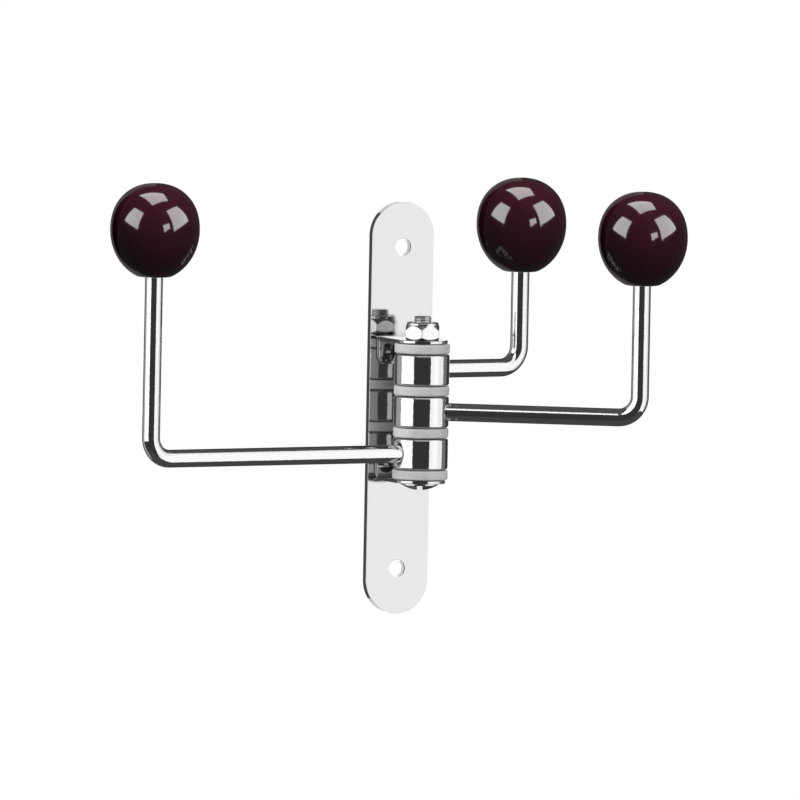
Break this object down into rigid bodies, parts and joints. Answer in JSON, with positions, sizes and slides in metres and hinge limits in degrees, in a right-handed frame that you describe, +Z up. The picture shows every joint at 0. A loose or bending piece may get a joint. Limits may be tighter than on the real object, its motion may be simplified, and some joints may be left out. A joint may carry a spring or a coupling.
{
  "type": "swivel coat hook",
  "caption": "Chromed wall plate with swivelling bent-rod coat arms on an upright pivot screw, each arm ending in a burgundy ball knob.",
  "frame": {"origin": "centre of the back plate's back face, which lies on the wall", "axes": "+X to the right along the wall, +Y into the wall, +Z up along the plate and the pivot screw"},
  "size_m": [0.2278, 0.0895, 0.1711],
  "materials": {
    "plate_chrome": "mirror-bright plating on flat sheet",
    "fastener_chrome": "bright plating on turned and formed fasteners",
    "arm_chrome": "bright plating on turned barrels and drawn rod",
    "nylon": "satin, slightly translucent",
    "burgundy": "high-gloss moulded",
    "brass": "turned, unplated"
  },
  "bodies": {
    "base": {"back_plate": "plate_chrome", "upper_bracket": "plate_chrome", "lower_bracket": "plate_chrome", "pivot_screw": "fastener_chrome", "lock_nut": "fastener_chrome", "nut_lock_ring": "nylon", "washer_1": "nylon", "washer_2": "nylon", "washer_3": "nylon", "washer_4": "nylon"},
    "top_arm": {"top_hub": "arm_chrome", "top_rod": "arm_chrome", "top_knob": "burgundy", "top_insert": "brass"},
    "middle_arm": {"middle_hub": "arm_chrome", "middle_rod": "arm_chrome", "middle_knob": "burgundy", "middle_insert": "brass"},
    "bottom_arm": {"bottom_hub": "arm_chrome", "bottom_rod": "arm_chrome", "bottom_knob": "burgundy", "bottom_insert": "brass"}
  },
  "joints": [
    {"name": "top_arm_swing", "type": "hinge", "parent": "base", "child": "top_arm", "pos_m": [0, -0.0234, 0.01635], "axis": [0, 0, -1], "range_deg": [-0.5, 194.1]},
    {"name": "middle_arm_swing", "type": "hinge", "parent": "base", "child": "middle_arm", "pos_m": [0, -0.0234, 0], "axis": [0, 0, -1], "range_deg": [-38.1, 149.3]},
    {"name": "bottom_arm_swing", "type": "hinge", "parent": "base", "child": "bottom_arm", "pos_m": [0, -0.0234, -0.01635], "axis": [0, 0, -1], "range_deg": [-175, 10.2]}
  ]
}
